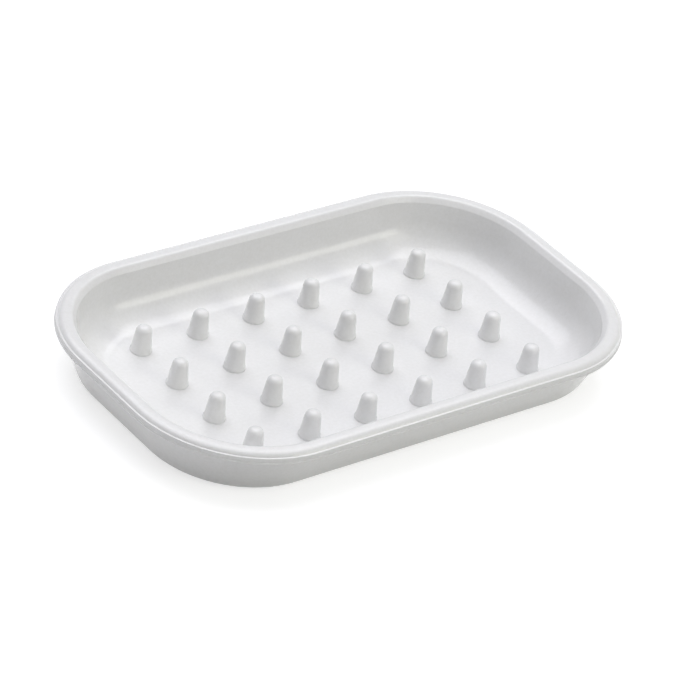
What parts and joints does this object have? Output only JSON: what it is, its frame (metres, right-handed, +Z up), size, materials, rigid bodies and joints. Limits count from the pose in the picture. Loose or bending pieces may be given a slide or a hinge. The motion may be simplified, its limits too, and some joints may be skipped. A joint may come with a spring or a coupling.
{
  "type": "soap dish",
  "caption": "Low oblong tray with rounded corners, a raised lip and rounded studs that hold a bar of soap clear of its wet floor.",
  "frame": {"origin": "centre of the flat face that the dish stands on", "axes": "+X along the length, to the right; +Y across the width, to the back; +Z up, out of the tray"},
  "size_m": [0.133, 0.0804, 0.014],
  "materials": {
    "white_plastic": "gloss"
  },
  "bodies": {
    "root": {"floor_panel": "white_plastic", "cove": "white_plastic", "wall": "white_plastic", "rim_step": "white_plastic", "rim": "white_plastic", "peg_1_1": "white_plastic", "peg_1_2": "white_plastic", "peg_1_3": "white_plastic", "peg_1_4": "white_plastic", "peg_1_5": "white_plastic", "peg_1_6": "white_plastic", "peg_2_1": "white_plastic", "peg_2_2": "white_plastic", "peg_2_3": "white_plastic", "peg_2_4": "white_plastic", "peg_2_5": "white_plastic", "peg_2_6": "white_plastic", "peg_3_1": "white_plastic", "peg_3_2": "white_plastic", "peg_3_3": "white_plastic", "peg_3_4": "white_plastic", "peg_3_5": "white_plastic", "peg_3_6": "white_plastic", "peg_4_1": "white_plastic", "peg_4_2": "white_plastic", "peg_4_3": "white_plastic", "peg_4_4": "white_plastic", "peg_4_5": "white_plastic", "peg_4_6": "white_plastic"}
  },
  "joints": []
}
